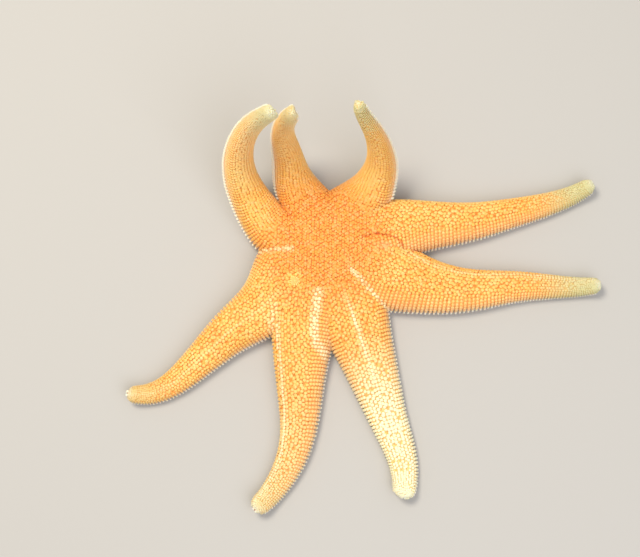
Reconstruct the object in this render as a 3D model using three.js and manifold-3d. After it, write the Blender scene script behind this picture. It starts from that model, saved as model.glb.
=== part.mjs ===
// A sun star lying on its oral side: a broad disc and eight tapering arms. Five arms lie flat with their tips
// turned up, and the three on the far side are raised and curl over. Millimetres, +Z up, +Y towards the raised
// arms. The whole outline is that of the coat of small plates and fringe spines, not of the bare skin.
import * as THREE from "three";
import { mergeVertices } from "three/addons/utils/BufferGeometryUtils.js";
import Module from "manifold-3d";

const wasm = await Module();
wasm.setup();

// ---- driving sizes ----
const GAP = 0.3; // thin cut between neighbouring pieces
const RING_SPACING = 6; // distance between sections along an arm
const DISC_SPACING = 11; // the same inside the disc, where the arms run together
const GROOVE_SPACING = 22; // and along the grooves cut into its under side
const TIP_LENGTH = 17; // pale end piece of each arm
const TIP_ROUNDING = 5; // length over which the end of an arm rounds off
const TIP_ROUNDING_STEPS = 3;
const BLUNTNESS = 0.93; // how far the rounding runs before the small flat end face

// Half width and height of an arm at six even stations, from the centre of the disc to the tip.
const HALF_WIDTHS = [22, 19.5, 14.2, 10.4, 7.4, 5];
const HEIGHTS = [17.6, 16.8, 13.6, 10.6, 8.3, 5.8];

// Right half of the arm's section, going up from the groove, in shares of the half width and the height:
// groove, foot ridge with its flat, under side, fringe ledge, side wall and arched back.
const GROOVE_ROOF = 0.3;
const HALF_SECTION = [
  [0.2, 0.26],
  [0.3, 0],
  [0.62, 0],
  [0.9, 0.13],
  [1, 0.24],
  [0.985, 0.36],
  [0.9, 0.6],
  [0.7, 0.82],
  [0.38, 0.96],
];
const SECTION_CENTRE = 0.42; // share of the height about which the end of an arm shrinks
const GROOVE_FLARE = 0.26; // half width of the groove for each mm from the mouth, until the arm's own is wider

// Where a raised arm begins and stops steepening, where its twist begins and ends, and where the tips turn up,
// all in shares of the arm's length.
const RISE_RANGE = [0.08, 0.58];
const TWIST_RANGE = [0.2, 0.9];
const TIP_RANGE = [0.86, 1];

// Each arm: aim is its heading where it leaves the centre and bends are how far it has turned from that at the
// five later stations, in degrees. girth and taper scale the half widths. rise is the steepest slope, twist the
// roll of its back about its own axis, and tipLift the extra slope of the tip. discEdge is the distance along
// the arm where the disc ends.
const FLAT = { rise: 0, twist: 0, tipLift: 34 };
const ARMS = [
  { aim: 196, bends: [-58, -80, -134, -192, -235], length: 139, girth: 0.71, taper: 0.05,
    rise: 60, twist: 75, tipLift: 8, discEdge: 45 },
  { aim: 104, bends: [20, 7, -17, -99, -165], length: 109, girth: 0.7, taper: -0.05,
    rise: 68, twist: 70, tipLift: 8, discEdge: 36 },
  { aim: 57, bends: [-15, 6, 54, 87, 77], length: 114, girth: 0.73, taper: -0.24,
    rise: 68, twist: -70, tipLift: 8, discEdge: 43 },
  { aim: 6, bends: [7, -2, 6, 10, 27], length: 140, girth: 0.88, taper: -0.06, ...FLAT, discEdge: 52 },
  { aim: -33, bends: [10, 22, 38, 31, 37], length: 143, girth: 0.98, taper: -0.15, ...FLAT, discEdge: 52 },
  { aim: -67, bends: [-4, -4, -5, -5, -42], length: 134, girth: 1.12, taper: 0, ...FLAT, discEdge: 59 },
  { aim: -106, bends: [2, 12, 14, -10, -37], length: 141, girth: 1.04, taper: -0.05, ...FLAT, discEdge: 59 },
  { aim: -153, bends: [29, 8, 17, 7, -47], length: 129, girth: 0.99, taper: -0.1, ...FLAT, discEdge: 55 },
];

const MOUTH = { radius: 11, roof: 5.5, floor: 1.2, jawReach: 3.2, slotReach: 7.5, slotWidth: 11, facets: 48 };
const MADREPORITE = { x: -14.5, y: -20.5, radius: 2.6, depth: 2.2, proud: 0.5, facets: 16, above: 9 };

// ---- the way along an arm ----
const radians = THREE.MathUtils.degToRad;

// Value at share u of the way along evenly spaced stations, on a smooth curve through them.
function between(stations, u) {
  const last = stations.length - 1;
  const x = Math.min(Math.max(u, 0), 1) * last;
  const i = Math.min(Math.floor(x), last - 1);
  const t = x - i;
  const b = stations[i];
  const c = stations[i + 1];
  const a = i === 0 ? 2 * b - c : stations[i - 1];
  const d = i === last - 1 ? 2 * c - b : stations[i + 2];
  return 0.5 * (2 * b + (c - a) * t + (2 * a - 5 * b + 4 * c - d) * t * t + (3 * b - a - 3 * c + d) * t ** 3);
}

const ramp = ([from, to], u) => THREE.MathUtils.smoothstep(u, from, to);

// Direction of the arm at share u, with the directions to its left side and out of its back.
function directions(arm, u) {
  const heading = radians(arm.aim + between([0, ...arm.bends], u));
  const slope = radians(arm.rise * ramp(RISE_RANGE, u) + arm.tipLift * ramp(TIP_RANGE, u));
  const ahead = new THREE.Vector3(
    Math.cos(heading) * Math.cos(slope),
    Math.sin(heading) * Math.cos(slope),
    Math.sin(slope),
  );
  const left = new THREE.Vector3(-Math.sin(heading), Math.cos(heading), 0);
  const back = new THREE.Vector3().crossVectors(ahead, left);
  const roll = radians(arm.twist * ramp(TWIST_RANGE, u));
  left.applyAxisAngle(ahead, roll);
  back.applyAxisAngle(ahead, roll);
  return { ahead, left, back };
}

// Points on the arm's base line, one each millimetre or so from the centre of the disc.
function baseLine(arm) {
  const steps = Math.round(arm.length);
  const points = [new THREE.Vector3()];
  for (let i = 0; i < steps; i++) {
    const middle = directions(arm, (i + 0.5) / steps).ahead;
    points.push(points[i].clone().addScaledVector(middle, arm.length / steps));
  }
  return points;
}

function placeAt(arm, line, distance) {
  const x = Math.min(Math.max(distance / arm.length, 0), 1) * (line.length - 1);
  const i = Math.min(Math.floor(x), line.length - 2);
  return line[i].clone().lerp(line[i + 1], x - i);
}

const halfWidth = (arm, u) => between(HALF_WIDTHS, u) * arm.girth * (1 + arm.taper * (2 * u - 1));

// How much of its full size the section keeps where the end of the arm rounds off.
function roundedShare(arm, distance) {
  const into = THREE.MathUtils.clamp((distance - arm.length + TIP_ROUNDING) / TIP_ROUNDING, 0, 1);
  return Math.sqrt(1 - (into * BLUNTNESS) ** 2);
}

// ---- sections, as [left, up] points in mm, counterclockwise seen from the tip ----
function mirrored(half, bottom, top) {
  const otherHalf = half.map(([x, z]) => [-x, z]).reverse();
  return [[0, bottom], ...half, [0, top], ...otherHalf];
}

function armSection(arm, distance) {
  const u = distance / arm.length;
  const share = roundedShare(arm, distance);
  const w = halfWidth(arm, u) * share;
  const h = between(HEIGHTS, u);
  return mirrored(HALF_SECTION, GROOVE_ROOF, 1).map(([x, z]) => [
    x * w,
    (SECTION_CENTRE + (z - SECTION_CENTRE) * share) * h,
  ]);
}

function grooveSection(arm, distance) {
  const u = distance / arm.length;
  const [[roofEdge, roofRise], [grooveEdge]] = HALF_SECTION;
  const w = Math.min(grooveEdge * halfWidth(arm, u), GROOVE_FLARE * distance);
  const h = between(HEIGHTS, u);
  const roof = (w * roofEdge) / grooveEdge;
  const half = [
    [w, -GAP],
    [w, 0],
    [roof, roofRise * h],
  ];
  return mirrored(half, -GAP, GROOVE_ROOF * h);
}

// ---- closed solids ----
// Skin over the sections at the given distances along an arm, closed by a flat face at each end.
function swept(arm, distances, section) {
  const line = baseLine(arm);
  const positions = [];
  let outline;
  for (const distance of distances) {
    const place = placeAt(arm, line, distance);
    const { left, back } = directions(arm, distance / arm.length);
    outline = section(arm, distance);
    for (const [x, z] of outline) {
      positions.push(...place.clone().addScaledVector(left, x).addScaledVector(back, z).toArray());
    }
  }
  const n = outline.length;
  const faces = [];
  for (let ring = 0; ring + 1 < distances.length; ring++) {
    for (let i = 0; i < n; i++) {
      const a = ring * n + i;
      const b = ring * n + ((i + 1) % n);
      faces.push(a, b, b + n, a, b + n, a + n);
    }
  }
  const flat = outline.map(([x, z]) => new THREE.Vector2(x, z));
  const endRing = (distances.length - 1) * n;
  for (const [a, b, c] of THREE.ShapeUtils.triangulateShape(flat, [])) {
    faces.push(endRing + a, endRing + b, endRing + c);
    faces.push(a, c, b);
  }
  const geometry = new THREE.BufferGeometry();
  geometry.setAttribute("position", new THREE.Float32BufferAttribute(positions, 3));
  geometry.setIndex(faces);
  return geometry;
}

function solid(geometry) {
  const bare = geometry.index ? geometry.toNonIndexed() : geometry.clone();
  bare.deleteAttribute("normal");
  bare.deleteAttribute("uv");
  const merged = mergeVertices(bare, 1e-4);
  return new wasm.Manifold(
    new wasm.Mesh({
      numProp: 3,
      vertProperties: merged.attributes.position.array,
      triVerts: new Uint32Array(merged.index.array),
    }),
  );
}

// Distances from one end of a piece to the other, about evenly apart, closer where the tip rounds off.
function stations(arm, from, to, spacing) {
  const roundsOff = to >= arm.length;
  const straightTo = roundsOff ? arm.length - TIP_ROUNDING : to;
  const steps = Math.max(1, Math.round((straightTo - from) / spacing));
  const out = Array.from({ length: steps + 1 }, (_, i) => from + ((straightTo - from) * i) / steps);
  for (let i = 1; roundsOff && i <= TIP_ROUNDING_STEPS; i++) {
    out.push(straightTo + TIP_ROUNDING * Math.sin((i / TIP_ROUNDING_STEPS) * (Math.PI / 2)));
  }
  return out;
}

function armSolid(arm, from, to, spacing = RING_SPACING) {
  return solid(swept(arm, stations(arm, from, to, spacing), armSection));
}

function grooveSolid(arm, from, to) {
  return solid(swept(arm, stations(arm, from, to, GROOVE_SPACING), grooveSection));
}

function cylinder(radius, from, to, facets) {
  const geometry = new THREE.CylinderGeometry(radius, radius, to - from, facets);
  return geometry.rotateX(Math.PI / 2).translate(0, 0, (from + to) / 2);
}

// ---- the pieces ----
// Jaw plates round the mouth: a ring whose opening reaches out between the jaws, one slot towards each arm.
function makeMouth() {
  const { radius, roof, floor, jawReach, slotReach, slotWidth, facets } = MOUTH;
  const outline = new THREE.Shape().absarc(0, 0, radius - GAP, 0, 2 * Math.PI);
  const opening = new THREE.Path();
  for (let i = 0; i < facets; i++) {
    const angle = (i / facets) * 360;
    const offSlot = Math.min(...ARMS.map((arm) => Math.abs(((angle - arm.aim + 900) % 360) - 180)));
    const reach = jawReach + (slotReach - jawReach) * Math.exp(-((offSlot / slotWidth) ** 2));
    const [x, y] = [reach * Math.cos(radians(angle)), reach * Math.sin(radians(angle))];
    if (i === 0) opening.moveTo(x, y);
    else opening.lineTo(x, y);
  }
  opening.closePath();
  outline.holes.push(opening);
  const depth = roof - GAP - floor;
  return solid(new THREE.ExtrudeGeometry(outline, { depth, bevelEnabled: false, curveSegments: 12 }).translate(0, 0, floor));
}

// The disc: the inner lengths of all arms as one body, with the grooves running in to the mouth.
function makeDisc() {
  const innerLength = (arm) => armSolid(arm, 0, arm.discEdge - GAP / 2, DISC_SPACING);
  let disc = innerLength(ARMS[0]);
  for (const arm of ARMS.slice(1)) {
    disc = disc.add(innerLength(arm));
  }
  for (const arm of ARMS) {
    disc = disc.subtract(grooveSolid(arm, MOUTH.radius / 2, arm.discEdge + GAP));
  }
  return disc.subtract(solid(cylinder(MOUTH.radius, -GAP, MOUTH.roof, MOUTH.facets)));
}

// The sieve plate follows the back of the disc, a little proud of it, in a shallow seat of its own.
function seatMadreporite(disc) {
  const { x, y, radius, depth, proud, facets, above } = MADREPORITE;
  const top = 2 * HEIGHTS[0];
  const column = (r, from) => solid(cylinder(r, from, top, facets).translate(x, y, 0));
  const over = column(radius, above).subtract(disc);
  const surface = over.boundingBox().min[2];
  const plate = column(radius, surface - depth).intersect(disc.translate([0, 0, proud]));
  return { disc: disc.subtract(column(radius + GAP, surface - depth - GAP)), plate };
}

const SKIN = new THREE.MeshStandardMaterial({ color: "#f2ac5a", roughness: 0.62, metalness: 0 });
const PALE_SKIN = new THREE.MeshStandardMaterial({ color: "#f1e2b6", roughness: 0.6, metalness: 0 });
const SIEVE = new THREE.MeshStandardMaterial({ color: "#f4cf86", roughness: 0.7, metalness: 0 });
const JAW = new THREE.MeshStandardMaterial({ color: "#e8c79c", roughness: 0.65, metalness: 0 });

const star = new THREE.Group();

function addPiece(name, shape, material) {
  const { numProp, vertProperties, triVerts } = shape.getMesh();
  const geometry = new THREE.BufferGeometry();
  const positions = new Float32Array((vertProperties.length / numProp) * 3);
  for (let i = 0; i * numProp < vertProperties.length; i++) {
    positions.set(vertProperties.subarray(i * numProp, i * numProp + 3), i * 3);
  }
  geometry.setAttribute("position", new THREE.BufferAttribute(positions, 3));
  geometry.setIndex(new THREE.BufferAttribute(triVerts, 1));
  geometry.computeVertexNormals();
  const mesh = new THREE.Mesh(geometry, material);
  mesh.name = name;
  star.add(mesh);
}

const { disc, plate } = seatMadreporite(makeDisc());
addPiece("disc", disc, SKIN);
addPiece("madreporite", plate, SIEVE);
addPiece("mouth", makeMouth(), JAW);
ARMS.forEach((arm, index) => {
  const name = "arm_" + (index + 1);
  const tipFrom = arm.length - TIP_LENGTH;
  const middle = (arm.discEdge + tipFrom) / 2;
  addPiece(name + "_inner", armSolid(arm, arm.discEdge + GAP / 2, middle - GAP / 2), SKIN);
  addPiece(name + "_outer", armSolid(arm, middle + GAP / 2, tipFrom - GAP / 2), SKIN);
  addPiece(name + "_tip", armSolid(arm, tipFrom + GAP / 2, arm.length), PALE_SKIN);
});

// The origin is on the floor, under the middle of the whole animal.
const extent = new THREE.Box3().setFromObject(star);
star.position.set(-(extent.min.x + extent.max.x) / 2, -(extent.min.y + extent.max.y) / 2, -extent.min.z);

export default star;
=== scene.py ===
"""A sun star at life size: one skin over the whole body, its coat of small plates (paxillae), the fringe of
its margins, the spines and tube feet of its grooves, its mouth and sieve plate, on a plain pale floor."""
import math

import bpy
import numpy as np
from mathutils import Matrix, Vector
from mathutils.bvhtree import BVHTree


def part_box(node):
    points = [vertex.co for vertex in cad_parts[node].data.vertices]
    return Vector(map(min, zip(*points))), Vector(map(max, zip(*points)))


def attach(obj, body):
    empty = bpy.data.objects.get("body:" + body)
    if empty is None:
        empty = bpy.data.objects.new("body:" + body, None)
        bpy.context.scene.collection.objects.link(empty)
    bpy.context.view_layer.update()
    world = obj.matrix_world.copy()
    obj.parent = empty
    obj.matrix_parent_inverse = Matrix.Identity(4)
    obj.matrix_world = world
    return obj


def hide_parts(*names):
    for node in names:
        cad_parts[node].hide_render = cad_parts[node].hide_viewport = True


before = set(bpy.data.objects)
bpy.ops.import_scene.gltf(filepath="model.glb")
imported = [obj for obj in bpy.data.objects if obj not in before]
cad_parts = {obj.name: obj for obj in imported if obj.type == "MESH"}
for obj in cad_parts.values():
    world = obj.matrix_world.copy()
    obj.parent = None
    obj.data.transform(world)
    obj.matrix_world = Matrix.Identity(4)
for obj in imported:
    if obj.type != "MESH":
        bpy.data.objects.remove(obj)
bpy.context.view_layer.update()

MM = 0.001
RANDOM = np.random.default_rng(11)

# ---- Sizes, in millimetres unless named otherwise. The arms' own values are those of the solids. ----
HALF_WIDTHS = [22, 19.5, 14.2, 10.4, 7.4, 5]  # half width of an arm at six even stations, centre to tip
HEIGHTS = [17.6, 16.8, 13.6, 10.6, 8.3, 5.8]  # its height at the same stations
RISE_RANGE = (0.08, 0.58)  # shares of the length over which a raised arm steepens
TWIST_RANGE = (0.2, 0.9)  # those over which it twists
TIP_RANGE = (0.86, 1.0)  # and those over which a tip turns up
TIP_ROUNDING = 5.0  # length of an arm's rounded end
SECTION_CENTRE = 0.42  # share of the height round which the end is rounded off
AXIS_SHARE = 0.45  # share of the height at which an arm's middle line runs

FLAT = dict(rise=0, twist=0, tip_lift=34)
ARMS = [
    dict(aim=196, bends=[-58, -80, -134, -192, -235], length=139, girth=0.71, taper=0.05,
         rise=60, twist=75, tip_lift=8),
    dict(aim=104, bends=[20, 7, -17, -99, -165], length=109, girth=0.7, taper=-0.05,
         rise=68, twist=70, tip_lift=8),
    dict(aim=57, bends=[-15, 6, 54, 87, 77], length=114, girth=0.73, taper=-0.24,
         rise=68, twist=-70, tip_lift=8),
    dict(aim=6, bends=[7, -2, 6, 10, 27], length=140, girth=0.88, taper=-0.06, **FLAT),
    dict(aim=-33, bends=[10, 22, 38, 31, 37], length=143, girth=0.98, taper=-0.15, **FLAT),
    dict(aim=-67, bends=[-4, -4, -5, -5, -42], length=134, girth=1.12, taper=0.0, **FLAT),
    dict(aim=-106, bends=[2, 12, 14, -10, -37], length=141, girth=1.04, taper=-0.05, **FLAT),
    dict(aim=-153, bends=[29, 8, 17, 7, -47], length=129, girth=0.99, taper=-0.1, **FLAT),
]
COAT_DEPTH = 1.15  # how far the back's paxillae stand over the skin
FRINGE_DEPTH = 2.0  # the same for the fringe's combs
SPINE_DEPTH = 1.6  # and for the spines beside the grooves
FULL_COAT_WIDTH = 9.0  # half width below which the coat gets shorter towards the tip
LEAST_COAT = 0.55  # share of its full size that it keeps

# Corners of the half section of an arm, counted from the groove's roof, and the points between two of them.
FOOT_CORNER, MARGIN_CORNER, TOP_CORNER = 3, 5, 10
FINE = 4
TUBE_STEP, END_RINGS = 1.2, 8  # between two rings of an arm's tube, and how many rings round off its end
SKIN_VOXEL = 0.9  # cells in which the tubes are joined

MOUTH_RADIUS, MOUTH_ROOF = 11.0, 6.2
GROOVE_REACH, GROOVE_ROOF = 42.0, 4.8  # of the grooves where they run in under the disc

# One value for each arm. Where its middle row runs: 0 is the top line, 1 the left margin, -1 the right one.
MIDLINE_LEANS = [0.2, 0.2, -0.2, 0.75, 0.5, 0.0, -0.55, 0.05]
# How bright that row is painted, a painted highlight along the ridge of the back. An arm with 0 has no such
# row.
MIDLINE_PALE = [0, 0, 0, 0.35, 0.5, 0.9, 0.8, 0.35]
# How pale a painted highlight makes the back along the arm (arm 6 almost white), and how pale and greenish
# its tip grows.
ARM_HIGHLIGHTS = [0.35, 0.25, 0.1, 0.0, 0.12, 1.0, 0.32, 0.0]
PALE_TIPS = [0.8, 0.6, 0.75, 0.95, 0.95, 1.0, 0.5, 0.45]
# How far the tip's feeler is turned down towards the groove, in degrees.
TIP_TURNS = [95, 95, 100, 55, 55, 25, 15, 5]
# The margin whose fringe stands out: 1 left, -1 right.
FRINGE_STANDS = [1, 1, -1, -1, -1, 1, 1, 1]

MIDLINE_WIDTH = 1.1  # of the bright row's painted highlight
# Shares of an arm's length over which its middle row's painted highlight, its back's painted highlight and
# its pale tip begin.
MIDLINE_RANGE, HIGHLIGHT_RANGE, PALE_TIP_RANGE = (0.14, 0.32), (0.24, 0.78), (0.66, 0.97)
DISC_TINT_RANGE = (16, 50)  # distances from the middle of the disc over which its tint ends
TOP_RANGE = (4, 9)  # heights over which the streaks' painted highlight, the spots and the fold's painted shade begin

# The crease between two neighbouring arms: how strong the painted highlight along its ridge is, how wide and
# deep it is, and how far out it starts. A crease deeper than 0.8 also gets painted shade.
CREASES = {(0, 1): (0.0, 2.0, 0.9, 14), (1, 2): (0.15, 2.0, 0.0, 14), (2, 3): (0.35, 1.6, 0.4, 20),
           (3, 4): (0.0, 1.8, 1.0, 36), (4, 5): (1.0, 1.9, 0.5, 14), (5, 6): (0.0, 2.0, 0.2, 30),
           (6, 7): (0.0, 2.0, 0.3, 20), (0, 7): (0.0, 2.0, 0.2, 20)}
CREASE_PAINT_GROWS, CREASE_SINKS = 12, 10  # lengths over which its painted highlight and painted shade come in, and over which it sinks in
CREASE_RISES = (48, 60)  # distances from the centre over which it rises again
SUNK_WIDTH, SUNK_FOLD_WIDTH = 1.6, 1.2  # of what is sunk in along the creases and the fold
# Painted highlights: pale streaks along the ridges between arms, in plan from the disc's centre, with their
# width and strength.
HIGHLIGHT_STREAKS = [([(-3.2, -26.3), (-5.4, -42.0), (-4.4, -50.5), (1.6, -58.0)], 2.5, 1.0),
           ([(-34.8, -5.5), (-24.8, -4.8), (-15.7, -4.5)], 1.8, 0.6),
           ([(-24.3, -32.4), (-26.8, -44.7)], 2.8, 0.55)]
# A fold where arm 5's skin is pushed up against arm 4, with painted shade along it, the smooth swelling
# beside it, and yellow spots.
FOLD_LINE = [(18.8, 1.6), (26.8, 2.8), (33.8, 1.2), (36.8, -0.5), (38.5, -3.5)]
# How wide the painted shade along the fold is, and how deep the skin sinks there.
FOLD_SHADE_WIDTH, FOLD_DEPTH = 1.0, 1.3
SWELLING_PLACE, SWELLING_REACH, SWELLING_HEIGHT = (28.8, -3.1), (7.0, 2.8), 0.9
YELLOW_SPOTS = [((-14.5, -19.5), 4.2), ((36.8, 0.1), 1.7)]

# The coat of an arm's back. Its rows run straight down the sides and are loose in the middle.
ROW_PITCH, COLUMN_PITCH = 1.85, 1.55  # paxillae along an arm and across it
ROWS_START, ROWS_END = 3.0, 2.2  # first row from the centre, last row from the tip
FULL_PITCH_WIDTH = 11  # half width below which the rows come closer
# Shares of the way to the margin over which the sides begin, on arms with a middle row and on the others.
SIDES_BEGIN = {True: (0.4, 0.65), False: (0.1, 0.4)}
SIDES_START = (8, 22)  # and the distances from the centre over which they do
PLATE_SIZE, SIDE_LOSS = (1.28, 1.24), (0.32, 0.06)  # along and across the arm, and what the sides take off
MIDLINE_JITTER, LOOSE_JITTER, SIZE_JITTER = 0.16, 0.12, 0.06  # of middle row, loose rows and all sizes
HEAD_RADIUS = 0.76  # of a paxilla
ROOT = 0.5  # how deep in the skin the coat's pegs begin
CAP_PITCH = 0.9  # paxillae on an arm's rounded end
BURIED = 1.2  # a site further than this from the skin lies inside a neighbouring arm

# Breathing pores of the back, each with a tuft of gills.
PORE_PITCH, PORE_JITTER = 2.5, 0.38
PORE_REACH, PORE_PUSH = 0.8, 0.34  # how wide and how far a pore pushes the paxillae apart
PORE_RADIUS = 0.62  # no paxilla stands nearer to a pore's middle
PORES_FROM, PORES_TO = 0.1, 0.62  # shares of the way from the middle row to the margin
PORES_END = 0.9  # share of the length

DISC_RADIUS = 25.0  # middle of the disc, where the paxillae lie in no rows
DISC_PITCH, DISC_JITTER = 1.4, 0.32
UNDER_PITCH = 1.9  # plates on the under side
UNDER_RADIUS = 48.0  # how far out from the mouth they also fill the room between the grooves, in no rows
UNDER_EDGES = (1.5, 0.6)  # how far those of an arm keep from the foot ridge and from the margin
SIEVE_PLACE, SIEVE_RADIUS = np.array([-14.5, -20.5]), 2.6  # from the disc's centre

FOOT_PITCH = 2.1  # tube feet along a groove
FEET_START, FEET_END = 14.0, 5  # first from the centre, last from the tip
ROOF_SHARE = 0.28  # share of an arm's height at which its groove's roof is

# The bake map. Each tuft has a patch of its own, PATCH wide.
PATCH = 0.003
SPOT_RING = 0.68  # how far from the patch's middle the spots of a tuft's pegs lie
ARM_SPAN, CAP_SPAN = (0.02, 0.92), (0.95, 0.04)  # an arm's length and the cap of its tip: start and width
BACK_LANE, BACK_REACH = (0.5, 0.33), 34  # its back: middle and half width, and the half width in mm
UNDER_LANES, UNDER_REACH = (0.02, 0.98, 0.11), 14  # its under side: outer edges, width, width in mm
LANES = (0.02, 0.96)  # a piece on all the arms has lanes side by side: start and width
PLAN_HALF, MOUTH_PLAN_HALF = 0.47, 0.45  # half width of a round piece's plan

mouth_low, mouth_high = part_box("mouth")
DISC_CENTRE = np.array([(mouth_low[0] + mouth_high[0]) / 2, (mouth_low[1] + mouth_high[1]) / 2, 0.0]) / MM

# Camera: seen from nearly straight above, a little from the side of the flat arms.
IMAGE_WIDTH_PX = 640
MM_PER_PX = 0.5
CAMERA_DISTANCE = 560.0
CAMERA_ELEVATION = 81.0
CAMERA_AZIMUTH = 14.0
LOOK_AT = DISC_CENTRE + np.array([-2.8, -17.0, 0.0])
SENSOR_WIDTH = 36.0
FLOOR_HALF = 12000.0

FLESH_IOR = 1.4  # wet flesh bends light a little more than water
WRINKLE_HEIGHT = 0.12  # of the skin between the plates


# ---- The way along an arm ----
def between(stations, u):
    """Values at shares u of the way along evenly spaced stations, on a smooth curve through them."""
    values = np.asarray(stations, float)
    last = len(values) - 1
    x = np.clip(u, 0, 1) * last
    i = np.minimum(x.astype(int), last - 1)
    t = x - i
    b, c = values[i], values[i + 1]
    a = np.where(i == 0, 2 * b - c, values[np.maximum(i - 1, 0)])
    d = np.where(i == last - 1, 2 * c - b, values[np.minimum(i + 2, last)])
    return 0.5 * (2 * b + (c - a) * t + (2 * a - 5 * b + 4 * c - d) * t**2 + (3 * b - a - 3 * c + d) * t**3)


def ramp(limits, u):
    """A share that grows smoothly from 0 to 1 as u goes from one limit to the other."""
    t = np.clip((u - limits[0]) / (limits[1] - limits[0]), 0, 1)
    return t * t * (3 - 2 * t)


def fading(gap, reach):
    """A share that is 1 where there is no gap, and fades away over about two reaches."""
    return np.exp(-((gap / reach) ** 2))


def unit(vectors):
    """The same vectors, each of length 1."""
    return vectors / np.linalg.norm(vectors, axis=-1, keepdims=True)


def directions(arm, u):
    """Ahead, left and back directions of the arm at shares u of its length."""
    heading = np.radians(arm["aim"] + between([0, *arm["bends"]], u))
    slope = np.radians(arm["rise"] * ramp(RISE_RANGE, u) + arm["tip_lift"] * ramp(TIP_RANGE, u))
    ahead = np.stack([np.cos(heading) * np.cos(slope), np.sin(heading) * np.cos(slope), np.sin(slope)], -1)
    left = np.stack([-np.sin(heading), np.cos(heading), np.zeros_like(heading)], -1)
    back = np.cross(ahead, left)
    roll = np.radians(arm["twist"] * ramp(TWIST_RANGE, u))[:, None]
    return ahead, left * np.cos(roll) + back * np.sin(roll), back * np.cos(roll) - left * np.sin(roll)


class Way:
    """An arm's base line, directions, half widths and heights, read at any distance from the centre."""

    def __init__(self, arm):
        self.arm = arm
        self.length = arm["length"]
        steps = self.length
        middles = directions(arm, (np.arange(steps) + 0.5) / steps)[0]
        self.distances = np.arange(steps + 1.0)
        self.line = DISC_CENTRE + np.vstack([np.zeros(3), np.cumsum(middles, axis=0)])
        self.back = self.frame(self.distances)[2]

    def place(self, s):
        """Points of the base line at distances s."""
        return np.stack([np.interp(s, self.distances, self.line[:, k]) for k in range(3)], -1)

    def frame(self, s):
        """Ahead, left and back directions there."""
        return directions(self.arm, s / self.length)

    def half_width(self, s):
        """Half width of the solid there."""
        u = s / self.length
        return between(HALF_WIDTHS, u) * self.arm["girth"] * (1 + self.arm["taper"] * (2 * u - 1))

    def height(self, s):
        """Height of the solid there, from the base line to the top of the back."""
        return between(HEIGHTS, s / self.length)


WAYS = [Way(arm) for arm in ARMS]


def coat_share(half_width):
    """Share of its full size that the coat has where an arm is this wide."""
    return np.clip(half_width / FULL_COAT_WIDTH, LEAST_COAT, 1)


def skin_half_section(w, h):
    """Right half of the skin's section, in mm, from the groove's roof round the margin to the middle of the
    back. Each corner is that of the solid, moved in by the depth of the coat that stands on it."""
    share = coat_share(w)
    coat, fringe, spine = COAT_DEPTH * share, FRINGE_DEPTH * share, SPINE_DEPTH * share
    return np.array([
        (0, 0.31 * h),
        (0.2 * w, 0.27 * h),
        (0.33 * w, spine + 0.1),
        (0.58 * w, spine),
        (0.84 * w, 0.13 * h + 0.75 * coat),
        (w - fringe, 0.25 * h),
        (0.94 * w - coat, 0.38 * h),
        (0.88 * w - 0.9 * coat, 0.6 * h - 0.3 * coat),
        (0.7 * w - 0.6 * coat, 0.82 * h - 0.75 * coat),
        (0.38 * w - 0.2 * coat, 0.96 * h - coat),
        (0, h - coat),
    ])


def smooth_section(w, h):
    """The half section as a smooth run of points, FINE to each stretch between two corners."""
    corners = skin_half_section(w, h)
    u = np.linspace(0, 1, FINE * (len(corners) - 1) + 1)
    return np.stack([between(corners[:, 0], u), between(corners[:, 1], u)], -1)


# ---- Meshes ----
def add_masks(mesh, masks):
    """Gives each vertex its value of each mask."""
    for mask, values in masks.items():
        mesh.attributes.new(mask, "FLOAT", "POINT").data.foreach_set("value", values.astype(np.float32))


def new_object(name, points_mm, faces, masks=None, bake_map=None):
    """A smooth mesh object from points in mm and an array of faces with the same number of corners each."""
    mesh = bpy.data.meshes.new(name)
    faces = np.asarray(faces, np.int32)
    mesh.vertices.add(len(points_mm))
    mesh.vertices.foreach_set("co", (np.asarray(points_mm) * MM).astype(np.float32).ravel())
    mesh.loops.add(faces.size)
    mesh.loops.foreach_set("vertex_index", faces.ravel())
    mesh.polygons.add(len(faces))
    mesh.polygons.foreach_set("loop_start", np.arange(0, faces.size, faces.shape[1], dtype=np.int32))
    mesh.polygons.foreach_set("use_smooth", np.ones(len(faces), bool))
    mesh.update(calc_edges=True)
    add_masks(mesh, masks or {})
    if bake_map is not None:
        layer = mesh.uv_layers.new(name="OFBake")
        layer.data.foreach_set("uv", bake_map[faces.ravel()].astype(np.float32).ravel())
    obj = bpy.data.objects.new(name, mesh)
    bpy.context.collection.objects.link(obj)
    return obj


def triangles(quads):
    """Each four-sided face as two triangles, without those that have no width."""
    faces = np.vstack([quads[:, [0, 1, 2]], quads[:, [0, 2, 3]]])
    a, b, c = faces.T
    return faces[(a != b) & (b != c) & (a != c)]


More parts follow.
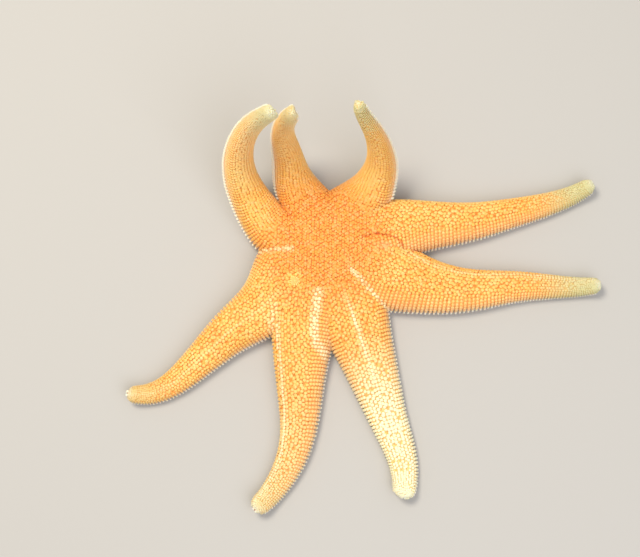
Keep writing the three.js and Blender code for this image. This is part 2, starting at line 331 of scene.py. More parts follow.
def arm_tube(way):
    """Points and triangles of a closed sweep of the skin's section along one arm, rounded off in its tip."""
    end = way.length - COAT_DEPTH * 0.8
    straight = np.arange(0, end - TIP_ROUNDING, TUBE_STEP)
    rounding = end - TIP_ROUNDING + TIP_ROUNDING * np.sin(np.linspace(0, math.pi / 2, END_RINGS))
    distances = np.concatenate([straight, rounding])
    _, left, back = way.frame(distances)
    places = way.place(distances)
    widths, heights = way.half_width(distances), way.height(distances)
    rings = []
    for i, s in enumerate(distances):
        half = smooth_section(widths[i], heights[i])
        into = np.clip((s - (end - TIP_ROUNDING)) / TIP_ROUNDING, 0, 1)
        share = math.sqrt(1 - (into * 0.96) ** 2)
        half = half * share + np.array([0, SECTION_CENTRE * heights[i] * (1 - share)])
        outline = np.vstack([half, half[-2:0:-1] * [-1, 1]])
        rings.append(places[i] + outline[:, :1] * left[i] + outline[:, 1:] * back[i])
    n = len(rings[0])
    ring = np.arange(len(rings) - 1)[:, None] * n
    around = np.arange(n)[None]
    following = (around + 1) % n
    corners = [ring + around, ring + following, ring + following + n, ring + around + n]
    sides = np.stack(corners, -1).reshape(-1, 4)
    k = np.arange(n // 2)
    end_face = np.stack([k, k + 1, (n - k - 1) % n, (n - k) % n], -1)
    last = (len(rings) - 1) * n
    return np.vstack(rings), triangles(np.vstack([sides, end_face[:, ::-1], end_face + last]))


def remeshed(obj, voxel):
    """One mesh round everything in the object, which goes."""
    modifier = obj.modifiers.new("union", "REMESH")
    modifier.mode = "VOXEL"
    modifier.voxel_size = voxel * MM
    graph = bpy.context.evaluated_depsgraph_get()
    mesh = bpy.data.meshes.new_from_object(obj.evaluated_get(graph))
    bpy.data.objects.remove(obj)
    return mesh


def vertex_values(mesh, kind):
    """The vertices' places ("co") or normals ("normal"), a row for each."""
    values = np.empty(len(mesh.vertices) * 3, np.float32)
    mesh.vertices.foreach_get(kind, values)
    return values.reshape(-1, 3)


def mesh_arrays(mesh):
    """A mesh's points in mm and its edges."""
    edges = np.empty(len(mesh.edges) * 2, np.int32)
    mesh.edges.foreach_get("vertices", edges)
    return vertex_values(mesh, "co").astype(float) / MM, edges.reshape(-1, 2)


def relaxed(points, edges, rounds, strength=0.5):
    """Points drawn towards the mean of their neighbours, then pushed back a little less to keep the size."""
    ends = np.concatenate([edges[:, 0], edges[:, 1]])
    others = np.concatenate([edges[:, 1], edges[:, 0]])
    count = np.bincount(ends, minlength=len(points))
    for factor in [strength, -strength * 0.94] * rounds:
        mean = np.stack([np.bincount(ends, points[others, k], len(points)) / count for k in range(3)], -1)
        points = points + factor * (mean - points)
    return points


# ---- Where a point lies on the body ----
AXES = [way.line + way.back * (AXIS_SHARE * way.height(way.distances))[:, None] for way in WAYS]
AXIS_WIDTHS = [way.half_width(way.distances) for way in WAYS]
BLOCK = 4000  # points located at a time


def locate(points):
    """For each point its own arm, the next nearest, the distance along its own, the offsets to its left and
    out of its back, and its lead: how much nearer its own arm is than the next, counted in half widths of
    each and turned to mm."""
    count = len(points)
    owner, other = np.empty(count, int), np.empty(count, int)
    distance, lead = np.empty(count), np.empty(count)
    for start in range(0, count, BLOCK):
        block = slice(start, start + BLOCK)
        gaps = [np.linalg.norm(points[block, None] - axis[None], axis=2) / widths
                for axis, widths in zip(AXES, AXIS_WIDTHS)]
        station = np.array([gap.argmin(1) for gap in gaps])
        nearest = np.array([gap.min(1) for gap in gaps])
        order = np.argsort(nearest, axis=0)
        ranked = np.sort(nearest, axis=0)
        owner[block], other[block] = order[0], order[1]
        lead[block] = ranked[1] - ranked[0]
        distance[block] = station[owner[block], np.arange(station.shape[1])]
    offset_left, offset_up = np.empty(count), np.empty(count)
    for index, way in enumerate(WAYS):
        mine = owner == index
        s = distance[mine]
        ahead, left, back = way.frame(s)
        offset = points[mine] - way.place(s)
        distance[mine] = np.clip(s + np.clip((offset * ahead).sum(1), -0.6, 0.6), 0, way.length)
        lead[mine] *= way.half_width(s)
        offset_left[mine] = (offset * left).sum(1)
        offset_up[mine] = (offset * back).sum(1)
    return owner, other, distance, offset_left, offset_up, lead


def from_midline(turn, lean):
    """Share of the way from the middle row, at lean, to the margin, for a share of the way from the top (0)
    to the left margin (1) or the right one (-1)."""
    return np.where(np.abs(turn) > 1, np.abs(turn), np.abs(turn - lean) / (1 - lean * np.sign(turn - lean)))


def line_gap(plan, line):
    """Distance in plan of each point from a line of straight stretches."""
    line = np.asarray(line)
    gaps = []
    for start, end in zip(line[:-1], line[1:]):
        way = end - start
        share = np.clip((plan - start) @ way / (way @ way), 0, 1)
        gaps.append(np.linalg.norm(plan - start - share[:, None] * way, axis=1))
    return np.min(gaps, axis=0)


def swelling(plan):
    """Share of its height that the swelling beside the fold has at each place."""
    offset = (plan - SWELLING_PLACE) / SWELLING_REACH
    return np.exp(-(offset**2).sum(1))


def crease_values(owner, other):
    """Strength of the painted highlight, width, depth and start of the crease between each point's two
    nearest arms.
    """
    table = np.zeros((len(ARMS), len(ARMS), 4))
    table[:, :, 1] = 1.0
    for (first, second), values in CREASES.items():
        table[first, second] = table[second, first] = values
    return table[owner, other].T


def markings(points):
    """The masks that colour skin and coat alike, each from 0 to 1, painted highlight and painted shade among
    them.
    """
    owner, other, distance, offset_left, offset_up, lead = locate(points)
    along, across, midline_highlight = np.empty(len(points)), np.empty(len(points)), np.empty(len(points))
    for index, way in enumerate(WAYS):
        mine = owner == index
        s = distance[mine]
        w, h = way.half_width(s), way.height(s)
        along[mine] = s / way.length
        rise = (offset_up[mine] - 0.24 * h) / (0.76 * h)
        turn = np.arctan2(offset_left[mine] / w, rise) / (math.pi / 2)
        across[mine] = from_midline(turn, MIDLINE_LEANS[index])
        # The middle row's paleness is a painted highlight along the ridge of the back.
        bright = MIDLINE_PALE[index] * ramp(MIDLINE_RANGE, along[mine])
        midline_highlight[mine] = fading(across[mine] * w, MIDLINE_WIDTH) * bright
    radius = np.linalg.norm(points - DISC_CENTRE - np.array([0, 0, HEIGHTS[0] / 2]), axis=1)
    plan = (points - DISC_CENTRE)[:, :2]
    on_top = ramp(TOP_RANGE, points[:, 2])
    # The creases and streaks get painted highlights; the fold and the deep creases get painted shade.
    painted_highlight, width, depth, start = crease_values(owner, other)
    near = fading(lead, width) * ramp((0, CREASE_PAINT_GROWS), radius - start)
    streak_highlights = [fading(line_gap(plan, line), reach) * strength * on_top for line, reach, strength in HIGHLIGHT_STREAKS]
    spots = [fading(np.linalg.norm(plan - place, axis=1), reach) * on_top for place, reach in YELLOW_SPOTS]
    shaded_fold = fading(line_gap(plan, FOLD_LINE), FOLD_SHADE_WIDTH) * on_top
    return {
        "along": along,
        "across": np.maximum(across / 2, 0.5 * swelling(plan) * on_top),
        # Painted highlight along the middle row.
        "midline_highlight": midline_highlight,
        "disc": 1 - ramp(DISC_TINT_RANGE, radius),
        # Painted highlight along the creases' ridges and in the streaks.
        "crease_highlight": np.max([near * painted_highlight, *streak_highlights], axis=0),
        # Painted shade in the fold and in creases deeper than 0.8.
        "shaded_fold": np.maximum(near * (depth > 0.8), shaded_fold),
        # Painted highlight: the backs of some arms grow pale along their length, arm 6 most.
        "painted_highlight": np.array(ARM_HIGHLIGHTS)[owner] * ramp(HIGHLIGHT_RANGE, along),
        "tip": np.array(PALE_TIPS)[owner] * ramp(PALE_TIP_RANGE, along),
        "yellow": np.max(spots, axis=0),
    }


# ---- The skin ----
def groove_half_width(owner, distance):
    """Half width of each arm's groove at these distances from the centre: it narrows towards the mouth."""
    widths = np.empty(len(owner))
    for index, way in enumerate(WAYS):
        mine = owner == index
        widths[mine] = way.half_width(distance[mine])
    return np.minimum(0.3 * widths, 0.8 + 0.17 * distance)


def folded(points, normals):
    """Points of the skin sunk into the creases between the arms and into the fold, with the swelling beside
    it."""
    owner, other, _, _, _, lead = locate(points)
    _, _, depth, start = crease_values(owner, other)
    plan = (points - DISC_CENTRE)[:, :2]
    radius = np.linalg.norm(plan, axis=1)
    reach = ramp((0, CREASE_SINKS), radius - start) * (1 - ramp(CREASE_RISES, radius))
    shaded_fold = FOLD_DEPTH * fading(line_gap(plan, FOLD_LINE), SUNK_FOLD_WIDTH)
    sunk = reach * depth * fading(lead, SUNK_WIDTH) + shaded_fold
    raised = SWELLING_HEIGHT * swelling(plan) - sunk
    return points + normals * (ramp((0.1, 0.5), normals[:, 2]) * raised)[:, None]


def hollowed(points):
    """The same points with those under the disc lifted into the grooves' last stretch and into the mouth."""
    radius = np.linalg.norm((points - DISC_CENTRE)[:, :2], axis=1)
    under = (points[:, 2] < MOUTH_ROOF) & (radius < GROOVE_REACH)
    low = points[under]
    owner, _, distance, offset_left, _, _ = locate(low)
    groove = 1 - ramp((0.55, 1.1), np.abs(offset_left) / groove_half_width(owner, distance))
    mouth = 1 - ramp((MOUTH_RADIUS - 2, MOUTH_RADIUS + 1), radius[under])
    points[under, 2] = np.max([low[:, 2], GROOVE_ROOF * groove, MOUTH_ROOF * mouth], axis=0)
    return points


def make_skin(material):
    """The skin: the arms' tubes made one, smoothed, folded, and hollowed out for grooves and mouth."""
    points, faces, count = [], [], 0
    for way in WAYS:
        tube, sides = arm_tube(way)
        points.append(tube)
        faces.append(sides + count)
        count += len(tube)
    mesh = remeshed(new_object("body_tubes", np.vstack(points), np.vstack(faces)), SKIN_VOXEL)
    skin_points, edges = mesh_arrays(mesh)
    skin_points = folded(relaxed(skin_points, edges, rounds=6), vertex_values(mesh, "normal"))
    skin_points = hollowed(skin_points)
    mesh.vertices.foreach_set("co", (skin_points * MM).astype(np.float32).ravel())
    mesh.polygons.foreach_set("use_smooth", np.ones(len(mesh.polygons), bool))
    mesh.update()
    add_masks(mesh, markings(skin_points))
    skin = bpy.data.objects.new("skin", mesh)
    bpy.context.collection.objects.link(skin)
    mesh.materials.clear()
    mesh.materials.append(material)
    return skin


class Surface:
    """The skin, ready to find the nearest place on it."""

    def __init__(self, obj):
        points, _ = mesh_arrays(obj.data)
        obj.data.calc_loop_triangles()
        faces = np.empty(len(obj.data.loop_triangles) * 3, np.int32)
        obj.data.loop_triangles.foreach_get("vertices", faces)
        self.faces = faces.reshape(-1, 3)
        self.tree = BVHTree.FromPolygons(points.tolist(), self.faces.tolist())
        self.normals = vertex_values(obj.data, "normal")

    def nearest(self, points):
        """Nearest places, smooth normals there, and how far away they are."""
        found = [self.tree.find_nearest(Vector(point)) for point in points]
        places = np.array([place for place, _, _, _ in found])
        normals = self.normals[self.faces[[face for _, _, face, _ in found]]].sum(1)
        return places, unit(normals), np.array([gap for *_, gap in found])


# ---- Tufts: small shapes set out in numbers on the skin ----
class Shape:
    """A small shape built of pegs. x is along the arm, y across it and z outwards. Each peg has a round spot
    of its own on the tuft's patch of the bake map: foot outside, tip in the middle."""

    def __init__(self):
        self.points, self.faces, self.patch = [], [], []

    def peg(self, foot, tip, profile, spot, spread, sides=3, turn=0.0):
        """A peg from foot to tip. The profile gives each ring's share of the way and its radius."""
        foot, tip = np.asarray(foot, float), np.asarray(tip, float)
        axis = unit(tip - foot)
        side = unit(np.cross(axis, [0.31, 0.95, 0.05]))
        other = np.cross(axis, side)
        angles = turn + 2 * math.pi * np.arange(sides) / sides
        first = len(self.points)
        for ring, (share, radius) in enumerate(profile):
            reach = spread * (1 - ring / len(profile))
            for angle in angles:
                turned = math.cos(angle) * side + math.sin(angle) * other
                self.points.append(foot + (tip - foot) * share + radius * turned)
                self.patch.append([spot[0] + reach * math.cos(angle), spot[1] + reach * math.sin(angle)])
        self.points.append(tip)
        self.patch.append(list(spot))
        last = first + sides * (len(profile) - 1)
        for k in range(sides):
            following = (k + 1) % sides
            for ring in range(first, last, sides):
                a, b = ring + k, ring + following
                self.faces += [(a, b, b + sides), (a, b + sides, a + sides)]
            self.faces.append((last + k, last + following, last + sides))

    def done(self):
        """The shape's points, faces and places on its patch, as arrays."""
        return np.array(self.points), np.array(self.faces, np.int32), np.array(self.patch, float)


def ring_spots(count):
    """Round spots side by side in a ring on the patch, its middle left for the stalk, and their size."""
    angles = 2 * math.pi * np.arange(count) / count
    return SPOT_RING * np.stack([np.cos(angles), np.sin(angles)], -1), 0.64 * math.sin(math.pi / count)


def paxilla(crown, reach):
    """A short stalk that widens to a low round head with a crown of blunt spinelets, COAT_DEPTH tall."""
    shape = Shape()
    spots, spread = ring_spots(crown + 1)
    stalk = [(0, 0.45), (0.76, HEAD_RADIUS), (0.93, 0.55)]
    spinelet = [(0, 0.24), (0.7, 0.2)]
    shape.peg((0, 0, -ROOT), (0, 0, 0.95), stalk, (0, 0), 0.34, sides=6)
    shape.peg((0, 0, 0.6), (0, 0, COAT_DEPTH), spinelet, spots[crown], spread)
    for k in range(crown):
        angle = 2 * math.pi * (k + 0.35 * RANDOM.random()) / crown
        out = np.array([math.cos(angle), math.sin(angle), 0]) * reach
        tip = out * RANDOM.uniform(1.25, 1.5) + [0, 0, RANDOM.uniform(0.94, 1.1)]
        shape.peg(out * 0.7 + [0, 0, 0.45], tip, spinelet, spots[k], spread, turn=RANDOM.random())
    return shape.done()


def comb(columns, rows, column_gap, row_gap, length, thickness, splay=0.15):
    """Blunt spinelets side by side in columns and rows, leaning a little apart."""
    shape = Shape()
    spots, spread = ring_spots(max(columns * rows, 3))
    profile = [(0, thickness), (0.9, thickness * 0.85)]
    for k in range(columns * rows):
        x = (k % columns - (columns - 1) / 2) * column_gap
        y = (k // columns - (rows - 1) / 2) * row_gap
        tip = (x * (1 + splay), y * (1 + splay), length * RANDOM.uniform(0.9, 1.0))
        shape.peg((x, y, -ROOT), tip, profile, spots[k], spread, sides=4, turn=RANDOM.random())
    return shape.done()


def gill_tuft():
    """Three drawn-in gills that fill a pore, 0.7 mm tall."""
    shape = Shape()
    spots, spread = ring_spots(3)
    profile = [(0, 0.32), (0.75, 0.26)]
    for k, (x, y) in enumerate(((0.22, 0.05), (-0.2, 0.2), (-0.05, -0.24))):
        tip = (x * 1.2, y * 1.2, RANDOM.uniform(0.5, 0.72))
        shape.peg((x, y, -0.3), tip, profile, spots[k], spread, sides=5, turn=RANDOM.random())
    return shape.done()


def tube_foot():
    """A tube foot with its sucker, 1 mm long before it is scaled."""
    shape = Shape()
    profile = [(0, 0.62), (0.7, 0.46), (0.85, 0.8), (0.98, 0.75)]
    shape.peg((0, 0, -0.1), (0, 0, 1), profile, (0, 0), 1.0, sides=8)
    return shape.done()


def knob(radius, height):
    """A round knob, for the feeler and eyespot of a tip and for the jaws."""
    shape = Shape()
    turns = math.pi / 2 * np.arange(5) / 5
    profile = [(0, radius)] + [(0.3 + 0.7 * math.sin(turn), radius * math.cos(turn)) for turn in turns]
    shape.peg((0, 0, -0.43 * height), (0, 0, height), profile, (0, 0), 1.0, sides=14)
    return shape.done()


def collar(count, radius, length, thickness):
    """Blunt spinelets that close round the tip of an arm, open towards the groove."""
    shape = Shape()
    spots, spread = ring_spots(count)
    profile = [(0, thickness), (0.85, thickness * 0.85)]
    for k, angle in enumerate(np.radians(np.linspace(-145, 145, count))):
        out = np.array([math.cos(angle), math.sin(angle), 0])
        tip = out * radius * 0.8 + [0, 0, length * RANDOM.uniform(0.85, 1)]
        shape.peg(out * radius + [0, 0, -0.8], tip, profile, spots[k], spread, sides=6)
    return shape.done()


class Sites:
    """Places for tufts: where each stands, its directions, its size, its place on the bake map."""

    def __init__(self, places, ahead, out, scales, spots):
        self.places, self.ahead, self.out, self.scales, self.spots = places, ahead, out, scales, spots

    def arrays(self):
        """All that is known of the sites, an array of each."""
        return self.places, self.ahead, self.out, self.scales, self.spots

    def only(self, kept):
        """Those of the sites that are kept."""
        return Sites(*(values[kept] for values in self.arrays()))


def joined(several):
    """Several sets of sites as one."""
    return Sites(*(np.concatenate(values) for values in zip(*(sites.arrays() for sites in several))))


def set_out(name, shapes, sites, material):
    """One joined mesh of copies of the shapes, one on each site, with the markings of the skin under it."""
    across = unit(np.cross(sites.out, sites.ahead))
    forward = np.cross(across, sites.out)
    masks = markings(sites.places)
    masks["tone"] = RANDOM.random(len(sites.places))
    choice = RANDOM.integers(0, len(shapes), len(sites.places))
    points, faces, bake_map, roots, lift = [], [], [], [], []
    first = 0
    for kind, (shape_points, shape_faces, patch) in enumerate(shapes):
        mine = np.flatnonzero(choice == kind)
        sized = shape_points[None] * sites.scales[mine][:, None]
        points.append((sites.places[mine][:, None]
                       + sized[..., :1] * forward[mine][:, None]
                       + sized[..., 1:2] * across[mine][:, None]
                       + sized[..., 2:] * sites.out[mine][:, None]).reshape(-1, 3))
        step = np.arange(len(mine))[:, None, None] * len(shape_points) + first
        faces.append((shape_faces[None] + step).reshape(-1, 3))
        bake_map.append((sites.spots[mine][:, None] + patch[None] * PATCH / 2).reshape(-1, 2))
        roots.append(np.repeat(mine, len(shape_points)))
        lift.append(np.tile(np.clip(shape_points[:, 2] / shape_points[:, 2].max(), 0, 1), len(mine)))
        first += len(mine) * len(shape_points)
    roots = np.concatenate(roots)
    masks = {mask: values[roots] for mask, values in masks.items()}
    masks["lift"] = np.concatenate(lift)
    piece = new_object(name, np.vstack(points), np.vstack(faces), masks, np.vstack(bake_map))
    piece.data.materials.append(material)
    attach(piece, "root")
    return piece


# ---- The coat of an arm ----
def row_distances(way):
    """Distances along the arm of its rows of plates, closer together where the arm is slender."""
    rows, s = [], ROWS_START
    while s < way.length - ROWS_END:
        rows.append(s)
        s += ROW_PITCH * (0.5 + 0.5 * min(1.0, float(way.half_width(s)) / FULL_PITCH_WIDTH))
    return np.array(rows)


def pushed(sites, pores):
    """Sites moved away from the pores near them, and how far each then is from the nearest."""
    offset = sites[:, None] - pores[None]
    gap = np.linalg.norm(offset, axis=2)
    weight = PORE_PUSH * fading(gap, PORE_REACH) / np.maximum(gap, 0.1)
    moved = sites + (offset * weight[..., None]).sum(1)
    return moved, np.linalg.norm(moved[:, None] - pores[None], axis=2).min(1)


def lattice(width, height, pitch, jitter):
    """Staggered places over a rectangle from 0 to width and -height to height."""
    x, y = np.meshgrid(np.arange(0, width, pitch * 0.87), np.arange(-height, height, pitch))
    y = y + (np.arange(x.shape[1]) % 2)[None] * pitch / 2
    places = np.stack([x.ravel(), y.ravel()], -1)
    return places + RANDOM.uniform(-jitter, jitter, places.shape)


def stretch(way, s, first, last):
    """The skin's half section at s between two of its corners: points and the distance run along them."""
    section = smooth_section(float(way.half_width(s)), float(way.height(s)))[first * FINE:last * FINE + 1]
    run = np.concatenate([[0], np.cumsum(np.linalg.norm(np.diff(section, axis=0), axis=1))])
    return section, run


def placed(way, s, side, section_points):
    """Points in space from distances along an arm, sides (1 left, -1 right) and points of half sections."""
    _, left, back = way.frame(s)
    return way.place(s) + section_points[:, :1] * side[:, None] * left + section_points[:, 1:] * back


def own(index, places, gaps):
    """Which places lie on this arm's own part of the body, and not inside a neighbour."""
    owner, *_ = locate(places)
    return (owner == index) & (gaps < BURIED)


def radius_of(places):
    """Distance in plan of each place from the disc's centre."""
    return np.linalg.norm((places - DISC_CENTRE)[:, :2], axis=1)


def lane_spots(way, s, lane):
    """Spots on the bake map of a piece on all the arms: distance along the arm, and share of the way up."""
    return LANES[0] + LANES[1] * np.stack([s / way.length, lane], -1)


def on_back(way, s, c):
    """Points on the back at distances s along the arm and c from its top line, positive to the left."""
    side = np.where(c < 0, -1.0, 1.0)
    on_section = np.empty((len(s), 2))
    for i in range(len(s)):
        section, run = stretch(way, s[i], MARGIN_CORNER, TOP_CORNER)
        reach = max(run[-1] - abs(c[i]), 0)
        on_section[i] = np.interp(reach, run, section[:, 0]), np.interp(reach, run, section[:, 1])
    return placed(way, s, side, on_section)


def arm_pores(index):
    """The breathing pores of an arm's back, none on its sides, its tip or its middle row."""
    way, lean = WAYS[index], MIDLINE_LEANS[index]
    pores = lattice(way.length, BACK_REACH, PORE_PITCH, PORE_JITTER)
    half = np.array([stretch(way, s, MARGIN_CORNER, TOP_CORNER)[1][-1] for s in pores[:, 0]])
    turn = from_midline(np.clip(pores[:, 1] / half, -0.99, 0.99), lean)
    inside = (np.abs(pores[:, 1]) < half) & (turn < PORES_TO) & (pores[:, 0] < way.length * PORES_END)
    return pores[inside & (turn > (PORES_FROM if MIDLINE_PALE[index] else 0))]


def gill_sites(index, skin, pores):
    """A tuft of gills in each of an arm's pores."""
    way = WAYS[index]
    s, c = pores.T
    places, normals, gaps = skin.nearest(on_back(way, s, c))
    ahead, _, _ = way.frame(s)
    share = coat_share(way.half_width(s))
    scales = np.stack([share, share, share * RANDOM.uniform(0.8, 1.2, len(s))], -1)
    spots = lane_spots(way, s, (index + 0.5 + 0.45 * c / BACK_REACH) / len(WAYS))
    kept = own(index, places, gaps) & (radius_of(places) > DISC_RADIUS - 1)
    return Sites(places, ahead, normals, scales, spots).only(kept)


def back_sites(index, skin, pores):
    """Paxillae in rows across the back. The rows are straight on the sides and loose in the middle, where
    the pores push the paxillae apart. Some arms have one more in each row, on the middle row of plates."""
    way, lean = WAYS[index], MIDLINE_LEANS[index]
    has_midline = MIDLINE_PALE[index] > 0
    flat = []
    for s in row_distances(way):
        _, run = stretch(way, s, MARGIN_CORNER, TOP_CORNER)
        half, pitch = run[-1], COLUMN_PITCH * float(coat_share(way.half_width(s)))
        for side in (1, -1):
            room = half * (1 - side * lean) - (0.5 * pitch if has_midline else 0)
            count = max(round(room / pitch), 1)
            steps = half - np.linspace(0.3, count - 0.5, count) * room / count
            flat += [(s, side * c, half, 0, k % 2) for k, c in enumerate(steps)]
        if has_midline:
            flat.append((s, lean * half, half, 1, 0))
    s, c, half, middle, staggered = np.array(flat).T
    middle = middle == 1
    flank = ramp(SIDES_BEGIN[has_midline], from_midline(c / half, lean)) * ramp(SIDES_START, s)
    sites = np.stack([s, c + MIDLINE_JITTER * middle * RANDOM.normal(size=len(s))], -1)
    loose = sites + RANDOM.normal(0, LOOSE_JITTER, sites.shape)
    loose[:, 0] += 0.5 * ROW_PITCH * staggered
    loose, pore_gap = pushed(loose, pores)
    clear = (pore_gap > PORE_RADIUS) | (flank > 0.5) | middle | (not has_midline)
    sites = np.where(middle[:, None], sites, sites * flank[:, None] + loose * (1 - flank[:, None]))
    s = np.clip(sites[:, 0], 0, way.length - 1.5)
    places, normals, gaps = skin.nearest(on_back(way, s, sites[:, 1]))
    ahead, _, _ = way.frame(s)
    share = coat_share(way.half_width(s))
    size = share * (1 + SIZE_JITTER * RANDOM.normal(size=len(s)))
    length, width = [size * (full - less * flank) for full, less in zip(PLATE_SIZE, SIDE_LOSS)]
    scales = np.stack([length, width, share], -1)
    lane = BACK_LANE[0] + BACK_LANE[1] * sites[:, 1] / BACK_REACH
    spots = np.stack([ARM_SPAN[0] + ARM_SPAN[1] * s / way.length, lane], -1)
    kept = clear & own(index, places, gaps) & (radius_of(places) > DISC_RADIUS - 1)
    return Sites(places, ahead, normals, scales, spots).only(kept)


def on_disc(skin, plan, scale):
    """Sites on the top of the disc at places in plan from its centre, of this scale in width."""
    above = np.column_stack([plan, np.full(len(plan), HEIGHTS[0] + 6)]) + DISC_CENTRE
    hits = np.array([skin.tree.ray_cast(Vector(point), Vector((0, 0, -1)))[0] for point in above])
    hits, normals, _ = skin.nearest(hits)
    size = scale * (1 + 0.07 * RANDOM.normal(size=len(plan)))
    scales = np.stack([size, size, np.ones_like(size)], -1)
    ahead = np.tile([1.0, 0.0, 0.0], (len(plan), 1))
    return Sites(hits, ahead, normals, scales, 0.5 + PLAN_HALF * plan / DISC_RADIUS)


def disc_lattice(radius, pitch, jitter):
    """Staggered places in plan over a round part of the disc."""
    plan = lattice(2 * radius, radius, pitch, jitter) - [radius, 0]
    return plan[np.linalg.norm(plan, axis=1) < radius]


def off_sieve(plan, room):
    """Those of the places in plan that leave room round the sieve plate."""
    return plan[np.linalg.norm(plan - SIEVE_PLACE, axis=1) > SIEVE_RADIUS + room]


def disc_pores():
    """The breathing pores of the middle of the disc, a little closer together than on the arms."""
    return off_sieve(disc_lattice(DISC_RADIUS, PORE_PITCH * 0.95, jitter=0.45), room=0.8)


def disc_sites(skin, pores):
    """Paxillae over the middle of the disc, in no rows, closer and smaller than on the arms."""
    plan = lattice(2 * DISC_RADIUS, DISC_RADIUS, DISC_PITCH, DISC_JITTER) - [DISC_RADIUS, 0]
    plan, pore_gap = pushed(plan, pores)
    plan = plan[pore_gap > PORE_RADIUS - 0.1]
    plan = plan[np.linalg.norm(plan, axis=1) < DISC_RADIUS]
    return on_disc(skin, off_sieve(plan, room=0.6), scale=1.02)


def above_floor(sites, height):
    """The same sites, with each tuft short enough to stay over the floor."""
    drop = np.maximum(-sites.out[:, 2], 0.02)
    sites.scales[:, 2] = np.minimum(sites.scales[:, 2], (sites.places[:, 2] - 0.05) / (drop * height))
    return sites


def row_sites(index, skin, corner, leans, height, lead_mm, closest=12.0):
    """One site a row on each side of the arm at a corner of its section. It faces out along (left, back),
    given for the side whose fringe stands out and for the other one."""
    way = WAYS[index]
    rows = row_distances(way)
    rows = rows[rows < way.length - 4]
    s, side = np.tile(rows, 2), np.repeat([1.0, -1.0], len(rows))
    corners = np.array([smooth_section(float(w), float(h))[corner * FINE]
                        for w, h in zip(way.half_width(s), way.height(s))])
    places, _, gaps = skin.nearest(placed(way, s, side, corners))
    ahead, left, back = way.frame(s)
    lean = np.where((side == FRINGE_STANDS[index])[:, None], leans[0], leans[1])
    out = left * (side * lean[:, 0])[:, None] + back * lean[:, 1:]
    scales = np.repeat(coat_share(way.half_width(s))[:, None], 3, axis=1)
    lane = (2 * index + (side > 0) + 0.5) / (2 * len(WAYS))
    owner, *_, lead = locate(places)
    kept = (owner == index) & (gaps < BURIED) & (radius_of(places) > closest) & (lead > lead_mm)
    return above_floor(Sites(places, ahead, out, scales, lane_spots(way, s, lane)).only(kept), height)


def under_sites(index, skin):
    """Larger, lower plates on the under side, between the foot ridge and the margin."""
    way = WAYS[index]
    flat = []
    for s in row_distances(way):
        section, run = stretch(way, s, FOOT_CORNER, MARGIN_CORNER)
        for reach in np.arange(UNDER_EDGES[0], run[-1] - UNDER_EDGES[1], UNDER_PITCH):
            point = np.interp(reach, run, section[:, 0]), np.interp(reach, run, section[:, 1])
            flat += [(s, 1.0, reach, *point), (s, -1.0, reach, *point)]
    s, side, reach, x, y = np.array(flat).T
    places, normals, gaps = skin.nearest(placed(way, s, side, np.stack([x, y], -1)))
    ahead, _, _ = way.frame(s)
    share = coat_share(way.half_width(s))
    scales = np.stack([share, share * 1.15, share * 0.8], -1)
    up = UNDER_LANES[2] * reach / UNDER_REACH
    lane = np.where(side > 0, UNDER_LANES[0] + up, UNDER_LANES[1] - up)
    spots = np.stack([ARM_SPAN[0] + ARM_SPAN[1] * s / way.length, lane], -1)
    kept = own(index, places, gaps) & (radius_of(places) > MOUTH_RADIUS + 2) & (normals[:, 2] < 0.9)
    return Sites(places, ahead, normals, scales, spots).only(kept)


def disc_under_sites(skin):
    """Low plates over the under side of the disc, outside the mouth and between the grooves."""
    plan = disc_lattice(UNDER_RADIUS, UNDER_PITCH, jitter=0.25)
    plan = plan[np.linalg.norm(plan, axis=1) > MOUTH_RADIUS + 2]
    places, normals, _ = skin.nearest(np.column_stack([plan, np.zeros(len(plan))]) + DISC_CENTRE)
    owner, _, distance, offset_left, _, _ = locate(places)
    outside = np.abs(offset_left) - groove_half_width(owner, distance)
    kept = (outside > UNDER_PITCH / 2) & (normals[:, 2] < -0.7) & (places[:, 2] < SPINE_DEPTH + 1)
    scales = np.tile([1.1, 1.1, 0.85], (len(plan), 1))
    ahead = np.tile([1.0, 0.0, 0.0], (len(plan), 1))
    sites = Sites(places, ahead, normals, scales, 0.5 + PLAN_HALF * plan / UNDER_RADIUS)
    return above_floor(sites.only(kept), COAT_DEPTH)


# ---- Tips and grooves ----
def tip_frame(index):
    """Middle of the rounded end of an arm, its radius, and its directions ahead, left and back."""
    way = WAYS[index]
    s = np.array([way.length - TIP_ROUNDING - 0.5])
    ahead, left, back = way.frame(s)
    middle = way.place(s) + back * SECTION_CENTRE * way.height(s)
    return middle[0], float(way.half_width(s)[0]), ahead[0], left[0], back[0]


def feeler_direction(index):
    """The way an arm's feeler points: ahead, turned down towards the groove."""
    _, _, ahead, _, back = tip_frame(index)
    turn = math.radians(TIP_TURNS[index])
    return math.cos(turn) * ahead - math.sin(turn) * back


def cap_sites(index, skin):
    """Small paxillae that close over the rounded end of an arm and leave room for its feeler."""
    middle, radius, ahead, left, back = tip_frame(index)
    aims, spots = [], []
    slants = np.radians(np.arange(8, 78, 13))
    for ring, slant in enumerate(slants):
        count = max(round(2 * math.pi * math.sin(slant) * radius / CAP_PITCH), 3)
        for turn in 2 * math.pi * (np.arange(count) + 0.5 * (ring % 2)) / count:
            around = math.cos(turn) * left + math.sin(turn) * back
            aims.append(math.cos(slant) * ahead + math.sin(slant) * around)
            up = 0.2 + 0.6 * turn / (2 * math.pi)
            spots.append([CAP_SPAN[0] + CAP_SPAN[1] * ring / len(slants), up])
    aims = np.array(aims)
    places, normals, _ = skin.nearest(middle + aims * radius)
    ahead = np.tile((left + back) / math.sqrt(2), (len(aims), 1))
    scales = np.tile([0.68, 0.68, 0.5], (len(aims), 1)) * RANDOM.uniform(0.9, 1.1, (len(aims), 1))
    clear = aims @ feeler_direction(index) < math.cos(math.radians(24))
    return above_floor(Sites(places, ahead, normals, scales, np.array(spots)).only(clear), COAT_DEPTH)


